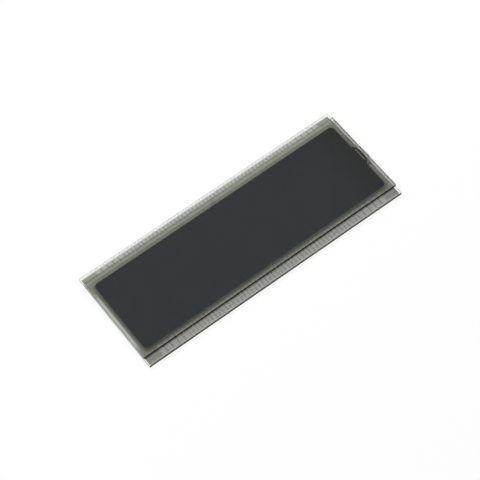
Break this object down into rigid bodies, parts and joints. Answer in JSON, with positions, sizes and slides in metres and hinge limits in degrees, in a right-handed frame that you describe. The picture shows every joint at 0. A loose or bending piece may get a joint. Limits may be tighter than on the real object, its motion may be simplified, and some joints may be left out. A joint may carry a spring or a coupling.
{
  "type": "lcd screen",
  "caption": "Bare glass liquid crystal cell with polarizer films, a dark sealed viewing area, a resin-closed fill port and a contact ledge along each long side.",
  "frame": {"origin": "middle of the rear polarizer's underside, which the cell lies on and which is centred under the rear glass", "axes": "+X along the glass towards the fill port, +Y across it towards the back ledge, +Z through the glass towards the viewer"},
  "size_m": [0.0895, 0.0346, 0.0027],
  "materials": {
    "rear_film": "opaque silver-grey reflector under a polarizer film",
    "glass": "clear float glass with scribed and broken edges",
    "conductive_film": "thin transparent conductive film",
    "conductive_paste": "metal-filled resin",
    "printed_seal": "cured translucent epoxy",
    "liquid_crystal": "dark with the display off",
    "clear_resin": "light grey cured resin",
    "front_film": "smooth neutral grey polarizer film"
  },
  "bodies": {
    "root": {"rear_polarizer": "rear_film", "rear_glass": "glass", "front_row_electrodes": "conductive_film", "back_row_electrodes": "conductive_film", "crossover_dots": "conductive_paste", "perimeter_seal": "printed_seal", "port_dam": "printed_seal", "liquid_crystal": "liquid_crystal", "end_seal": "clear_resin", "common_electrodes": "conductive_film", "front_glass": "glass", "front_polarizer": "front_film"}
  },
  "joints": []
}
